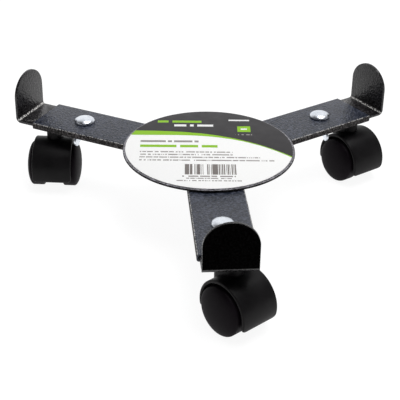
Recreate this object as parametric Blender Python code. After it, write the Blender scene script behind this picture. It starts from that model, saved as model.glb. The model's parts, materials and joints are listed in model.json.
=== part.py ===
"""Rolling caddy for a plant pot: a round plate on three steel channels, a lugged leg that slides in each
channel, and a hooded twin-wheel caster under each leg.

The origin is the middle of the top face, where the pot stands, and +Z is up. The front arm points to -Y.
"""

import math

import bmesh
import bpy

# Overall sizes, in metres
PLATE_RADIUS = 0.050
PLATE_THICKNESS = 0.0013
LABEL_RADIUS = 0.0486
LABEL_THICKNESS = 0.0002
CHANNEL_START = 0.011
CHANNEL_SETBACK = 0.0122
CHANNEL_SHEET = 0.0010
CHANNEL_LIP = 0.0060
CHANNEL_BEND = 0.0004
LUG_FACE = 0.1232
LUG_TOP = 0.024
LUG_ROUND = 0.0134
LUG_BEND = 0.0016
LEG_WIDTH = 0.0285
LEG_THICKNESS = 0.0016
LEG_TAIL = 0.0067
LEG_TRAVEL = 0.050

# Clamp on each arm, its bolt set back from the lug's outer face
BOLT_SETBACK = 0.0397
BOLT_DIAMETER = 0.005
BOLT_LENGTH = 0.012
BOLT_HEAD_DIAMETER = 0.0122
BOLT_HEAD_HEIGHT = 0.0030
BOLT_TIP = 0.0006
WASHER_DIAMETER = 0.014
WASHER_THICKNESS = 0.0010
NUT_HEIGHT = 0.0040
NUT_DIAMETER = 0.0092
NUT_END_DIAMETER = 0.0076
WING_REACH = 0.0126
WING_DROP = 0.0070
WING_ROUND = 0.0030
WING_THICKNESS = 0.0015

# Caster, its stem set back from the lug's outer face
STEM_SETBACK = 0.0192
STEM_DIAMETER = 0.0062
STEM_DEPTH = 0.0215
STEM_HEAD_DIAMETER = 0.0094
STEM_FLANGE_DIAMETER = 0.0096
STEM_FLANGE_THICKNESS = 0.0010
RING_DROP = 0.0150
RING_WIDTH = 0.0012
RING_DEPTH = 0.0006
RING_MOUTH = math.radians(50)
AXLE_DROP = 0.0303
AXLE_TRAIL = 0.0093
AXLE_DIAMETER = 0.0040
AXLE_LENGTH = 0.0230
AXLE_CHAMFER = 0.0004
WHEEL_RADIUS = 0.0136
WHEEL_INNER_FACE = 0.0060
WHEEL_SHOULDER = 0.0125
WHEEL_DOME = 0.0038
WHEEL_CHAMFER = 0.0006
WHEEL_WALL = 0.0016
WHEEL_HUB_WALL = 0.0018
HOOD_WIDTH = 0.0236
HOOD_WALL = 0.0017
HOOD_LIP_DROP = math.radians(20)
NECK_WIDTH = 0.0092
NECK_FRONT = 0.0024
NECK_BACK = 0.0060

# Clearances
GAP = 0.0003
LABEL_GAP = 0.0002
SLIDE_GAP = 0.00035
SIDE_GAP = 0.0005
STEM_GAP = 0.0002
PIN_GAP = 0.0001
HOOD_GAP = 0.0014
WEB_GAP = 0.0006

# Each arm's heading, how far its leg is drawn out at rest, the way its caster's axle points, and how far
# its wing nut is turned. Angles are in degrees.
ARMS = {
    "front": {"heading": -90, "drawn": 0.0015, "axle": 37, "nut": -8},
    "right": {"heading": 30, "drawn": 0.0, "axle": 31, "nut": -14},
    "left": {"heading": 150, "drawn": 0.0005, "axle": -7, "nut": 0},
}

# Places along the arm, measured back from the lug's outer face
CHANNEL_END = LUG_FACE - CHANNEL_SETBACK
BOLT_PLACE = LUG_FACE - BOLT_SETBACK
STEM_PLACE = LUG_FACE - STEM_SETBACK

# Heights that follow from the sizes above, from the top down
PLATE_TOP = -LABEL_THICKNESS - LABEL_GAP
PLATE_BOTTOM = PLATE_TOP - PLATE_THICKNESS
CHANNEL_TOP = PLATE_BOTTOM - GAP
LEG_TOP = CHANNEL_TOP - CHANNEL_SHEET - SLIDE_GAP
LEG_BOTTOM = LEG_TOP - LEG_THICKNESS
CHANNEL_BOTTOM = LEG_BOTTOM - SLIDE_GAP - CHANNEL_SHEET
WASHER_TOP = LEG_BOTTOM - GAP
NUT_TOP = min(WASHER_TOP - WASHER_THICKNESS, CHANNEL_BOTTOM) - GAP
FLANGE_TOP = LEG_BOTTOM - GAP
NECK_TOP = min(FLANGE_TOP - STEM_FLANGE_THICKNESS, CHANNEL_BOTTOM) - GAP

# Widths and radii that follow
CHANNEL_WIDTH = LEG_WIDTH + 2 * SIDE_GAP + 2 * CHANNEL_SHEET
SLOT_WIDTH = BOLT_DIAMETER + 2 * GAP
SLOT_START = BOLT_PLACE - LEG_TRAVEL - BOLT_DIAMETER / 2
SLOT_END = BOLT_PLACE + BOLT_DIAMETER / 2
LEG_START = SLOT_START - SLOT_WIDTH / 2 - LEG_TAIL
STEM_BORE = STEM_DIAMETER + 2 * GAP
HOOD_CAVITY = WHEEL_RADIUS + HOOD_GAP
HOOD_RADIUS = HOOD_CAVITY + HOOD_WALL
WEB_HALF = WHEEL_INNER_FACE - WEB_GAP

# Facets
FINE = 64
ROUND = 32
MEDIUM = 24
SMALL = 20
DOME_STEPS = 6
BEND_STEPS = 4
MERGE = 1e-7
SHARP = math.radians(35)


def clear_scene():
    for obj in list(bpy.data.objects):
        bpy.data.objects.remove(obj, do_unlink=True)


def finish(bm):
    """The bmesh as a mesh whose faces point out."""
    bmesh.ops.remove_doubles(bm, verts=bm.verts, dist=MERGE)
    bmesh.ops.recalc_face_normals(bm, faces=bm.faces)
    mesh = bpy.data.meshes.new("shape")
    bm.to_mesh(mesh)
    bm.free()
    return mesh


def turned(profile, facets):
    """A solid turned about Z from (radius, height) points. It closes on the axis or on itself."""
    bm = bmesh.new()
    verts = [bm.verts.new((radius, 0, height)) for radius, height in profile]
    edges = [bm.edges.new(pair) for pair in zip(verts, verts[1:])]
    if profile[0][0] > 0:
        edges.append(bm.edges.new((verts[-1], verts[0])))
    bmesh.ops.spin(
        bm,
        geom=verts + edges,
        cent=(0, 0, 0),
        axis=(0, 0, 1),
        angle=2 * math.pi,
        steps=facets,
        use_merge=True,
    )
    return finish(bm)


def prism(outline, along, start, end):
    """A closed outline swept along X, Y or Z from start to end."""
    place = {
        "X": lambda a, b, c: (c, a, b),
        "Y": lambda a, b, c: (a, c, b),
        "Z": lambda a, b, c: (a, b, c),
    }[along]
    bm = bmesh.new()
    face = bm.faces.new([bm.verts.new(place(a, b, start)) for a, b in outline])
    swept = bmesh.ops.extrude_face_region(bm, geom=[face])["geom"]
    moved = [item for item in swept if isinstance(item, bmesh.types.BMVert)]
    bmesh.ops.translate(bm, verts=moved, vec=place(0, 0, end - start))
    return finish(bm)


def arc(centre, radii, first, last, steps):
    """Points along an elliptical arc, from one angle to another."""
    angles = [first + (last - first) * i / steps for i in range(steps + 1)]
    return [
        (centre[0] + radii[0] * math.cos(a), centre[1] + radii[1] * math.sin(a))
        for a in angles
    ]


def circle(centre, radius, facets):
    return arc(centre, (radius, radius), 0, 2 * math.pi, facets)[:-1]


def box(low, high):
    outline = [(low[0], low[1]), (high[0], low[1]), (high[0], high[1]), (low[0], high[1])]
    return prism(outline, "Z", low[2], high[2])


def upright_slot(along, start, end, width, low, high):
    """An upright round-ended bar along X or Y. Start and end are the centres of its round ends."""
    half = width / 2
    quarter = math.pi / 2
    outline = arc((end, 0), (half, half), -quarter, quarter, SMALL // 2)
    outline += arc((start, 0), (half, half), quarter, 3 * quarter, SMALL // 2)
    if along == "Y":
        outline = [(-y, x) for x, y in outline]
    return prism(outline, "Z", low, high)


def combined(body, joins=(), cuts=()):
    """One mesh: the body with every join added and then every cut taken away."""
    work = bpy.data.objects.new("work", body)
    helpers = [work]
    bpy.context.scene.collection.objects.link(work)
    for operation, tools in (("UNION", joins), ("DIFFERENCE", cuts)):
        for tool in tools:
            helper = bpy.data.objects.new("tool", tool)
            helpers.append(helper)
            bpy.context.scene.collection.objects.link(helper)
            boolean = work.modifiers.new(operation, "BOOLEAN")
            boolean.operation = operation
            boolean.solver = "EXACT"
            boolean.object = helper
    graph = bpy.context.evaluated_depsgraph_get()
    result = bpy.data.meshes.new_from_object(work.evaluated_get(graph))
    for helper in helpers:
        bpy.data.objects.remove(helper, do_unlink=True)
    return result


def moved(mesh, x=0.0, y=0.0, z=0.0):
    for vertex in mesh.vertices:
        vertex.co.x += x
        vertex.co.y += y
        vertex.co.z += z
    return mesh


# Sheet metal


def plate_mesh():
    return prism(circle((0, 0), PLATE_RADIUS, FINE), "Z", PLATE_BOTTOM, PLATE_TOP)


def label_mesh():
    return prism(circle((0, 0), LABEL_RADIUS, FINE), "Z", -LABEL_THICKNESS, 0)


def channel_section():
    """The C section across the arm: web on top, lips turned in underneath."""
    outer = CHANNEL_BEND + CHANNEL_SHEET
    half = CHANNEL_WIDTH / 2
    quarter = math.pi / 2
    corner_y = half - outer
    top = CHANNEL_TOP - outer
    bottom = CHANNEL_BOTTOM + outer
    lip_end = half - CHANNEL_LIP
    right = [(lip_end, CHANNEL_BOTTOM)]
    right += arc((corner_y, bottom), (outer, outer), -quarter, 0, BEND_STEPS)
    right += arc((corner_y, top), (outer, outer), 0, quarter, BEND_STEPS)
    inside = arc((corner_y, top), (CHANNEL_BEND, CHANNEL_BEND), quarter, 0, BEND_STEPS)
    inside += arc((corner_y, bottom), (CHANNEL_BEND, CHANNEL_BEND), 0, -quarter, BEND_STEPS)
    inside.append((lip_end, CHANNEL_BOTTOM + CHANNEL_SHEET))
    left = [(-y, z) for y, z in reversed(right)]
    left_inside = [(-y, z) for y, z in reversed(inside)]
    return right + left + left_inside + inside


def channel_mesh():
    """The channel, with a square hole that keeps the bolt from turning."""
    half = BOLT_DIAMETER / 2 + GAP
    hole = box(
        (BOLT_PLACE - half, -half, LEG_TOP),
        (BOLT_PLACE + half, half, CHANNEL_TOP + GAP),
    )
    return combined(prism(channel_section(), "X", CHANNEL_START, CHANNEL_END), cuts=[hole])


def leg_mesh():
    """The sliding leg: a round-ended strip bent up into a lug, slotted for the bolt, holed for the stem."""
    middle = LEG_THICKNESS / 2
    bend_radius = LUG_BEND + middle
    bend_start = LUG_FACE - LEG_THICKNESS - LUG_BEND
    bend_length = bend_radius * math.pi / 2
    rise = LUG_TOP - LEG_TOP - LUG_BEND
    tip = bend_start + bend_length + rise
    half = LEG_WIDTH / 2
    quarter = math.pi / 2
    outline = [(LEG_START, half), (LEG_START, -half)]
    outline += arc((tip - LUG_ROUND, 0), (LUG_ROUND, half), -quarter, quarter, ROUND // 2)
    bm = bmesh.new()
    bm.from_mesh(prism(outline, "Z", -middle, middle))
    for step in range(BEND_STEPS + 1):
        station = bend_start + bend_length * step / BEND_STEPS
        bmesh.ops.bisect_plane(
            bm,
            geom=bm.verts[:] + bm.edges[:] + bm.faces[:],
            plane_co=(station, 0, 0),
            plane_no=(1, 0, 0),
        )
    for vertex in bm.verts:
        along, side, depth = vertex.co
        turn = min(max((along - bend_start) / bend_radius, 0), quarter)
        past = max(along - bend_start - bend_length, 0)
        reach = bend_radius - depth
        vertex.co.x = min(along, bend_start) + reach * math.sin(turn)
        vertex.co.z = LEG_TOP + LUG_BEND - reach * math.cos(turn) + past
    low = LEG_BOTTOM - GAP
    high = LEG_TOP + GAP
    sink = [
        (0, low),
        (STEM_DIAMETER / 2 + STEM_GAP, low),
        (STEM_DIAMETER / 2 + STEM_GAP, LEG_BOTTOM + middle),
        (STEM_HEAD_DIAMETER / 2 + STEM_GAP, LEG_TOP),
        (STEM_HEAD_DIAMETER / 2 + STEM_GAP, high),
        (0, high),
    ]
    cuts = [
        upright_slot("X", SLOT_START, SLOT_END, SLOT_WIDTH, low, high),
        moved(turned(sink, SMALL), x=STEM_PLACE),
    ]
    return combined(finish(bm), cuts=cuts)


# Clamp


def bolt_mesh():
    """A carriage bolt: domed head, square neck, round shank."""
    seat = CHANNEL_TOP + GAP
    radius = BOLT_HEAD_DIAMETER / 2
    end = seat - BOLT_LENGTH
    shank = BOLT_DIAMETER / 2
    dome = arc((0, seat), (radius, BOLT_HEAD_HEIGHT), math.pi / 2, 0, DOME_STEPS)
    dome[0] = (0, seat + BOLT_HEAD_HEIGHT)
    stem = [
        (shank, seat),
        (shank, end + BOLT_TIP),
        (shank - BOLT_TIP, end),
        (0, end),
    ]
    neck = box((-shank, -shank, LEG_BOTTOM + LEG_THICKNESS / 2), (shank, shank, seat + GAP))
    return combined(turned(dome + stem, MEDIUM), joins=[neck])


def washer_mesh():
    hole = BOLT_DIAMETER / 2 + GAP
    low = WASHER_TOP - WASHER_THICKNESS
    outer = WASHER_DIAMETER / 2
    return turned([(hole, WASHER_TOP), (outer, WASHER_TOP), (outer, low), (hole, low)], MEDIUM)


def nut_mesh():
    """A wing nut whose two wings hang down and out along Y."""
    end = NUT_TOP - NUT_HEIGHT
    hub = turned(
        [(0, NUT_TOP), (NUT_DIAMETER / 2, NUT_TOP), (NUT_END_DIAMETER / 2, end), (0, end)],
        SMALL,
    )
    bore = turned(
        [
            (0, NUT_TOP + GAP),
            (BOLT_DIAMETER / 2 + GAP, NUT_TOP + GAP),
            (BOLT_DIAMETER / 2 + GAP, end - GAP),
            (0, end - GAP),
        ],
        SMALL,
    )
    wings = []
    for side in (1, -1):
        ear = (side * (WING_REACH - WING_ROUND), NUT_TOP - WING_DROP + WING_ROUND)
        root = side * (NUT_END_DIAMETER / 2 - WING_THICKNESS / 2)
        bm = bmesh.new()
        for x in (-WING_THICKNESS / 2, WING_THICKNESS / 2):
            for y, z in circle(ear, WING_ROUND, SMALL):
                bm.verts.new((x, y, z))
            bm.verts.new((x, root, NUT_TOP - GAP))
            bm.verts.new((x, root, end + GAP))
        bmesh.ops.convex_hull(bm, input=bm.verts)
        wings.append(finish(bm))
    return combined(hub, joins=wings, cuts=[bore])


# Caster


def stem_mesh():
    """The caster's stem: a flush head in the leg, a flange under it, a pin with a groove for its ring."""
    pin = STEM_DIAMETER / 2
    groove_top = -RING_DROP + RING_WIDTH / 2 + STEM_GAP
    groove_bottom = -RING_DROP - RING_WIDTH / 2 - STEM_GAP
    flange_bottom = FLANGE_TOP - STEM_FLANGE_THICKNESS
    return turned(
        [
            (0, LEG_TOP),
            (STEM_HEAD_DIAMETER / 2, LEG_TOP),
            (pin, LEG_BOTTOM + LEG_THICKNESS / 2),
            (pin, FLANGE_TOP),
            (STEM_FLANGE_DIAMETER / 2, FLANGE_TOP),
            (STEM_FLANGE_DIAMETER / 2, flange_bottom),
            (pin, flange_bottom),
            (pin, groove_top),
            (pin - RING_DEPTH, groove_top),
            (pin - RING_DEPTH, groove_bottom),
            (pin, groove_bottom),
            (pin, -STEM_DEPTH),
            (0, -STEM_DEPTH),
        ],
        SMALL,
    )


def ring_mesh():
    """The open spring ring in the stem's groove."""
    inner = STEM_DIAMETER / 2 - RING_DEPTH + PIN_GAP
    outer = STEM_DIAMETER / 2 + PIN_GAP
    half_mouth = RING_MOUTH / 2
    outline = arc((0, 0), (outer, outer), half_mouth, 2 * math.pi - half_mouth, SMALL)
    outline += arc((0, 0), (inner, inner), 2 * math.pi - half_mouth, half_mouth, SMALL)
    return prism(outline, "Z", -RING_DROP - RING_WIDTH / 2, -RING_DROP + RING_WIDTH / 2)


def hood_mesh():
    """The caster's body: a hood over both wheels, a web between them and a neck round the stem."""
    centre = (-AXLE_TRAIL, -AXLE_DROP)
    half = HOOD_WIDTH / 2
    hood_arc = arc(
        centre,
        (HOOD_RADIUS, HOOD_RADIUS),
        -HOOD_LIP_DROP,
        math.pi + HOOD_LIP_DROP,
        ROUND,
    )
    neck = upright_slot("Y", -NECK_BACK, NECK_FRONT, NECK_WIDTH, -AXLE_DROP, NECK_TOP)
    stem_floor = -STEM_DEPTH - GAP
    bore = turned(
        [
            (0, stem_floor),
            (STEM_BORE / 2, stem_floor),
            (STEM_BORE / 2, NECK_TOP + GAP),
            (0, NECK_TOP + GAP),
        ],
        SMALL,
    )
    cavity = circle(centre, HOOD_CAVITY, ROUND)
    axle_hole = circle(centre, AXLE_DIAMETER / 2 + PIN_GAP, SMALL)
    cuts = [
        prism(cavity, "X", WEB_HALF, half + GAP),
        prism(cavity, "X", -half - GAP, -WEB_HALF),
        prism(axle_hole, "X", -half, half),
        bore,
    ]
    return combined(prism(hood_arc, "X", -half, half), joins=[neck], cuts=cuts)


def axle_mesh():
    half = AXLE_LENGTH / 2
    radius = AXLE_DIAMETER / 2
    return turned(
        [
            (0, half),
            (radius - AXLE_CHAMFER, half),
            (radius, half - AXLE_CHAMFER),
            (radius, AXLE_CHAMFER - half),
            (radius - AXLE_CHAMFER, -half),
            (0, -half),
        ],
        SMALL,
    )


def wheel_mesh():
    """One wheel, turned about Z: domed outside, hollow towards the web, with a blind hub for the axle."""
    hub_hole = AXLE_DIAMETER / 2 + GAP
    hub = hub_hole + WHEEL_HUB_WALL
    rim = WHEEL_RADIUS - WHEEL_WALL
    floor = WHEEL_SHOULDER - WHEEL_WALL
    dome = arc((0, WHEEL_SHOULDER), (WHEEL_RADIUS, WHEEL_DOME), 0, math.pi / 2, DOME_STEPS)
    dome[-1] = (0, WHEEL_SHOULDER + WHEEL_DOME)
    return turned(
        [
            (0, AXLE_LENGTH / 2 + GAP),
            (hub_hole, AXLE_LENGTH / 2 + GAP),
            (hub_hole, WHEEL_INNER_FACE),
            (hub, WHEEL_INNER_FACE),
            (hub, floor),
            (rim, floor),
            (rim, WHEEL_INNER_FACE),
            (WHEEL_RADIUS - WHEEL_CHAMFER, WHEEL_INNER_FACE),
            (WHEEL_RADIUS, WHEEL_INNER_FACE + WHEEL_CHAMFER),
        ]
        + dome,
        ROUND,
    )


# Materials and placing


def material(name, color, roughness, metallic):
    made = bpy.data.materials.new(name)
    made.use_nodes = True
    shader = made.node_tree.nodes["Principled BSDF"]
    shader.inputs["Base Color"].default_value = (*color, 1)
    shader.inputs["Roughness"].default_value = roughness
    shader.inputs["Metallic"].default_value = metallic
    return made


def empty(name, parent, location, turn):
    """A placing frame, turned by degrees about Z."""
    made = bpy.data.objects.new(name, None)
    made.parent = parent
    made.location = location
    made.rotation_euler = (0, 0, math.radians(turn))
    made.empty_display_size = 0.01
    bpy.context.scene.collection.objects.link(made)
    return made


def add(name, mesh, finish_material, parent=None, location=(0, 0, 0), rotation=(0, 0, 0)):
    """One named object. Copies of a piece share its mesh."""
    if not mesh.materials:
        mesh.materials.append(finish_material)
        mesh.shade_smooth()
        mesh.set_sharp_from_angle(angle=SHARP)
    made = bpy.data.objects.new(name, mesh)
    made.parent = parent
    made.location = location
    made.rotation_euler = rotation
    bpy.context.scene.collection.objects.link(made)
    return made


def build():
    clear_scene()
    plate_paint = material("plate_paint", (0.16, 0.17, 0.17), 0.42, 0.5)
    label_print = material("label_print", (0.20, 0.30, 0.10), 0.35, 0.0)
    channel_paint = material("channel_paint", (0.085, 0.095, 0.11), 0.38, 0.6)
    leg_paint = material("leg_paint", (0.030, 0.032, 0.036), 0.36, 0.5)
    bolt_zinc = material("bolt_zinc", (0.75, 0.78, 0.82), 0.22, 1.0)
    washer_zinc = material("washer_zinc", (0.66, 0.69, 0.72), 0.30, 1.0)
    nut_zinc = material("nut_zinc", (0.72, 0.72, 0.70), 0.32, 1.0)
    stem_steel = material("stem_steel", (0.55, 0.56, 0.58), 0.30, 1.0)
    ring_steel = material("ring_steel", (0.40, 0.42, 0.46), 0.34, 1.0)
    axle_steel = material("axle_steel", (0.60, 0.61, 0.62), 0.25, 1.0)
    hood_plastic = material("hood_plastic", (0.012, 0.012, 0.012), 0.45, 0.0)
    wheel_plastic = material("wheel_plastic", (0.020, 0.018, 0.022), 0.50, 0.0)

    channel = channel_mesh()
    leg = leg_mesh()
    bolt = bolt_mesh()
    washer = washer_mesh()
    nut = nut_mesh()
    stem = stem_mesh()
    ring = ring_mesh()
    hood = hood_mesh()
    axle = axle_mesh()
    wheel = wheel_mesh()

    add("pot_plate", plate_mesh(), plate_paint)
    add("plate_label", label_mesh(), label_print)
    quarter = math.pi / 2
    for side, turns in ARMS.items():
        arm = empty(f"arm_{side}", None, (0, 0, 0), turns["heading"])
        add(f"arm_channel_{side}", channel, channel_paint, arm)
        drawn = empty(f"leg_slide_{side}", arm, (turns["drawn"], 0, 0), 0)
        add(f"sliding_leg_{side}", leg, leg_paint, drawn)
        add(f"carriage_bolt_{side}", bolt, bolt_zinc, arm, (BOLT_PLACE, 0, 0))
        add(f"clamp_washer_{side}", washer, washer_zinc, arm, (BOLT_PLACE, 0, 0))
        turn = (0, 0, math.radians(turns["nut"]))
        add(f"wing_nut_{side}", nut, nut_zinc, arm, (BOLT_PLACE, 0, 0), turn)
        add(f"caster_stem_{side}", stem, stem_steel, drawn, (STEM_PLACE, 0, 0))
        add(f"stem_ring_{side}", ring, ring_steel, drawn, (STEM_PLACE, 0, 0))
        swivel = empty(f"swivel_{side}", drawn, (STEM_PLACE, 0, 0), turns["axle"] - turns["heading"])
        add(f"caster_hood_{side}", hood, hood_plastic, swivel)
        hub = (0, -AXLE_TRAIL, -AXLE_DROP)
        add(f"wheel_axle_{side}", axle, axle_steel, swivel, hub, (0, quarter, 0))
        add(f"caster_wheel_{side}_a", wheel, wheel_plastic, swivel, hub, (0, -quarter, 0))
        add(f"caster_wheel_{side}_b", wheel, wheel_plastic, swivel, hub, (0, quarter, 0))


build()
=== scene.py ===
"""Finished looks for a rolling plant pot caddy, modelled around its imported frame.

The file is laid out as an add-on and is run as a script. Each piece is modelled in the local frame of its
own arm, caster or wheel and then moved into place in its mesh, so every object stays at the origin.
"""

import json
import math

import bmesh
import bpy
from bpy.props import FloatProperty, FloatVectorProperty, PointerProperty
from mathutils import Matrix, Vector


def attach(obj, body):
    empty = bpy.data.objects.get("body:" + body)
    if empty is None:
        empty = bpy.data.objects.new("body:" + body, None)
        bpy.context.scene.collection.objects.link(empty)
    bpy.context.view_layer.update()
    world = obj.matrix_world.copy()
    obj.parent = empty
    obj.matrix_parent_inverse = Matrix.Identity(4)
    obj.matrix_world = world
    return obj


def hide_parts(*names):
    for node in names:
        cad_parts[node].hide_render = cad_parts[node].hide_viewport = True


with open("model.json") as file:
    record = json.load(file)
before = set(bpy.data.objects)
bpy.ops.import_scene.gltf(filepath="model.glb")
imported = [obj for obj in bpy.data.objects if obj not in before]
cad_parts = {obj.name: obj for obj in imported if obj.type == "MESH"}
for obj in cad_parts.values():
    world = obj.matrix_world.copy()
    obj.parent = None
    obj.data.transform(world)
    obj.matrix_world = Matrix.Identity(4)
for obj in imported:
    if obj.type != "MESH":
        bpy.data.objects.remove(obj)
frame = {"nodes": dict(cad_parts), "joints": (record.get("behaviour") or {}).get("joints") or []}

bl_info = {
    "name": "Plant pot caddy",
    "version": (1, 0, 0),
    "blender": (4, 5, 0),
    "location": "3D View > Sidebar > Caddy",
    "description": "Builds the finished pieces of a rolling plant pot caddy",
    "category": "Object",
}

# The arms, and the wheels of each caster with the way they face along the axle
SIDES = ("front", "right", "left")
WHEELS = {"a": -1, "b": 1}

# Steps in a turn, a small turn, a leg's bend, a rounded corner, a hood's wall and a turn of thread
TURN = 144
SMALL_TURN = 64
BEND = 10
CORNER = 4
HOOD_STEPS = 110
THREAD_STEPS = 40

# Edges sharper than the first are shaded as edges, and those sharper than the second are rounded
SHARP = math.radians(40)
ROUNDED_FROM = math.radians(60)

# Shares of a face's normal along an axis that make the face a side, a level face or a square end
SIDE_FACE = 0.6
LEVEL_FACE = 0.9
SQUARE_FACE = 0.98

# Clearance of parts that stay put, clearance of parts that turn, how far a cutter stands out of its work,
# how far joined solids reach into each other, and how near two places are to count as one
CLOSE = 0.0002
LOOSE = 0.0003
MARGIN = 0.0003
OVERLAP = 0.0004
NEAR = 1e-6

# A thread's side view over one pitch: depth below the crest and height, as shares of the pitch
THREAD = ((0.61, 0), (0.61, 0.2), (0, 0.54), (0, 0.66), (0.61, 1))

# Vertex value that marks where a sheet is bent and gets painted glints, a painted highlight
GLINT_MARK = "bend"


def length(name, description, default):
    """A size property in metres."""
    return FloatProperty(
        name=name, description=description, default=default, min=0, unit="LENGTH", precision=5
    )


def colour(name, description, default):
    """A colour property."""
    return FloatVectorProperty(
        name=name, description=description, default=default, size=3, min=0, max=1, subtype="COLOR"
    )


class CaddyShape(bpy.types.PropertyGroup):
    """Sizes that the finished pieces add to the frame's own."""

    edge_break: length("Edge break", "Rounding of the sheet metal's cut edges", 0.00022)
    channel_sheet: length("Channel sheet", "Thickness of the channels' steel", 0.0010)
    channel_bend: length("Channel bend", "Inside radius of the channels' bends", 0.0004)
    channel_lip: length("Channel lip", "Width of the lips under a channel, with the bend", 0.0060)
    leg_sheet: length("Leg sheet", "Thickness of the legs' steel", 0.0016)
    leg_bend: length("Leg bend", "Inside radius of the bend below a lug", 0.0016)
    lug_round: length("Lug round", "Height of a lug's round top", 0.0134)
    slot_width: length("Slot width", "Width of a leg's slot", 0.0056)
    slot_start: length("Slot start", "From a leg's tail to the first centre of its slot", 0.0095)
    slot_length: length("Slot length", "Between the centres of a slot's round ends", 0.0550)
    bolt_diameter: length("Bolt diameter", "Outer diameter of a clamp bolt's thread", 0.005)
    thread_pitch: length("Thread pitch", "Pitch of a clamp bolt's thread", 0.0008)
    bolt_head: length("Bolt head", "Height of a clamp bolt's domed head", 0.0030)
    bolt_rim: length("Bolt head rim", "Height of the upright rim round a bolt's head", 0.0006)
    nut_height: length("Nut height", "Height of a wing nut's hub", 0.0040)
    nut_diameter: length("Nut diameter", "Diameter of a wing nut's hub at its seat", 0.0092)
    nut_end: length("Nut end", "Diameter of a wing nut's hub at its open end", 0.0076)
    wing_round: length("Wing round", "Radius of a wing's round ear", 0.0030)
    wing_sheet: length("Wing thickness", "Thickness of a wing", 0.0015)
    stem_diameter: length("Stem diameter", "Diameter of a caster's stem", 0.0062)
    stem_head: length("Stem head", "Diameter of a stem's flush head", 0.0094)
    stem_flange: length("Stem flange", "Thickness of a stem's flange", 0.0010)
    ring_depth: length("Ring groove", "Depth of the spring ring's groove", 0.0006)
    axle_diameter: length("Axle diameter", "Diameter of a wheel axle", 0.0040)
    hood_wall: length("Hood wall", "Thickness of a hood's wall", 0.0017)
    hood_corner: length("Hood corner", "Radius of the corners at a hood's lower edges", 0.0026)
    hood_edge: length("Hood edge", "Rounding of a hood's outer rims", 0.0008)
    hood_lip: FloatProperty(
        name="Hood lip",
        description="How far a hood's wall runs below the axle's height",
        default=math.radians(20),
        unit="ROTATION",
    )
    web_half: length("Half web", "Half the thickness of the web between the wheels", 0.0054)
    neck_width: length("Neck width", "Width of a caster's neck", 0.0092)
    neck_front: length("Neck front", "From the stem to the neck's front centre", 0.0024)
    neck_back: length("Neck back", "From the stem to the neck's rear centre", 0.0060)
    wheel_shoulder: length("Wheel shoulder", "From a caster's middle to the edge of a wheel's dome", 0.0125)
    wheel_wall: length("Wheel wall", "Thickness of a wheel's tread and face", 0.0016)
    hub_wall: length("Hub wall", "Thickness of a wheel's hub", 0.0018)
    hammer_cell: length("Hammered cell", "Size of one dimple of the hammered paint", 0.0011)


class CaddyColours(bpy.types.PropertyGroup):
    """Colours of the finished pieces."""

    paint: colour("Channel paint", "Hammered paint of the channels", (0.004, 0.008, 0.019))
    fleck: colour("Channel fleck", "Light flecks in the channels' paint", (0.086, 0.096, 0.135))
    # Painted shade: the channels' sides take a darker paint and flecks than their tops
    side_painted_shade: colour("Side paint", "Darker paint on the channels' sides", (0.006, 0.005, 0.0045))
    side_shade_fleck: colour("Side fleck", "Flecks on the channels' sides", (0.125, 0.114, 0.116))
    plate_paint: colour("Plate paint", "Hammered paint of the plate", (0.075, 0.072, 0.080))
    plate_fleck: colour("Plate fleck", "Light flecks in the plate's paint", (0.42, 0.41, 0.46))
    leg_paint: colour("Leg paint", "Hammered paint of the legs", (0.005, 0.0046, 0.0048))
    leg_fleck: colour("Leg fleck", "Light flecks in the legs' paint", (0.050, 0.046, 0.050))
    # Painted shade: black on the lugs' outer faces and on the plate's upright edge
    painted_shade_black: colour("Lug back", "Black on the lugs' backs and the plate's edge", (0.0010, 0.0008, 0.0008))
    # Painted highlight: the light glints on bends and cut edges
    painted_glint: colour("Worn edge", "Thin paint on bent and cut edges", (0.82, 0.80, 0.77))
    zinc: colour("Zinc", "Bright zinc plating", (0.82, 0.86, 0.91))
    zinc_tarnish: colour("Zinc tarnish", "Darker patches in the plating", (0.60, 0.63, 0.69))
    steel: colour("Steel", "Plain turned steel", (0.55, 0.56, 0.58))
    hood: colour("Hood plastic", "Black plastic of the caster bodies", (0.0055, 0.0050, 0.0055))
    wheel: colour("Wheel plastic", "Black plastic of the wheels", (0.0040, 0.0026, 0.0040))
    card: colour("Label ground", "Light lower part of the label", (0.95, 0.95, 0.94))
    band: colour("Label band", "Dark upper part of the label", (0.030, 0.028, 0.030))
    stripe: colour("Label stripe", "Curved stripe across the label", (0.26, 0.54, 0.008))
    ink: colour("Label ink", "Bars on the label", (0.20, 0.18, 0.17))
    print_grey: colour("Grey print", "Grey dashes on the label", (0.30, 0.28, 0.27))
    print_white: colour("White print", "White dashes on the label", (0.85, 0.85, 0.85))
    floor: colour("Floor", "Pale floor under the caddy", (0.16, 0.16, 0.16))


def measures():
    """The finished pieces' own sizes."""
    return bpy.context.scene.caddy_shape


def colours():
    """The finished pieces' colours."""
    return bpy.context.scene.caddy_colours


# Places


def joint(name):
    """The frame's entry for a joint."""
    return next(entry for entry in frame["joints"] if entry["name"] == name)


def arm_place(side):
    """An arm's own frame: X points outwards along the arm and Z up."""
    along = Vector(joint(f"leg_slide_{side}")["axis"])
    return Matrix.Rotation(math.atan2(along.y, along.x), 4, "Z")


def clamp_place(side):
    """The arm's frame moved to the axis of its clamp bolt."""
    low, high = extent(f"carriage_bolt_{side}", arm_place(side))
    return arm_place(side) @ Matrix.Translation(((low.x + high.x) / 2, 0, 0))


def nut_place(side):
    """The clamp's frame turned so that the wings lie along Y."""
    place = clamp_place(side)
    inverse = place.inverted()
    points = [inverse @ vertex.co for vertex in frame["nodes"][f"wing_nut_{side}"].data.vertices]
    ear_start = 0.85 * max(math.hypot(point.x, point.y) for point in points)
    ears = [point for point in points if math.hypot(point.x, point.y) > ear_start]
    ear = sum((point for point in ears if point.y > 0), Vector())
    return place @ Matrix.Rotation(math.atan2(ear.y, ear.x) - math.pi / 2, 4, "Z")


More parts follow.
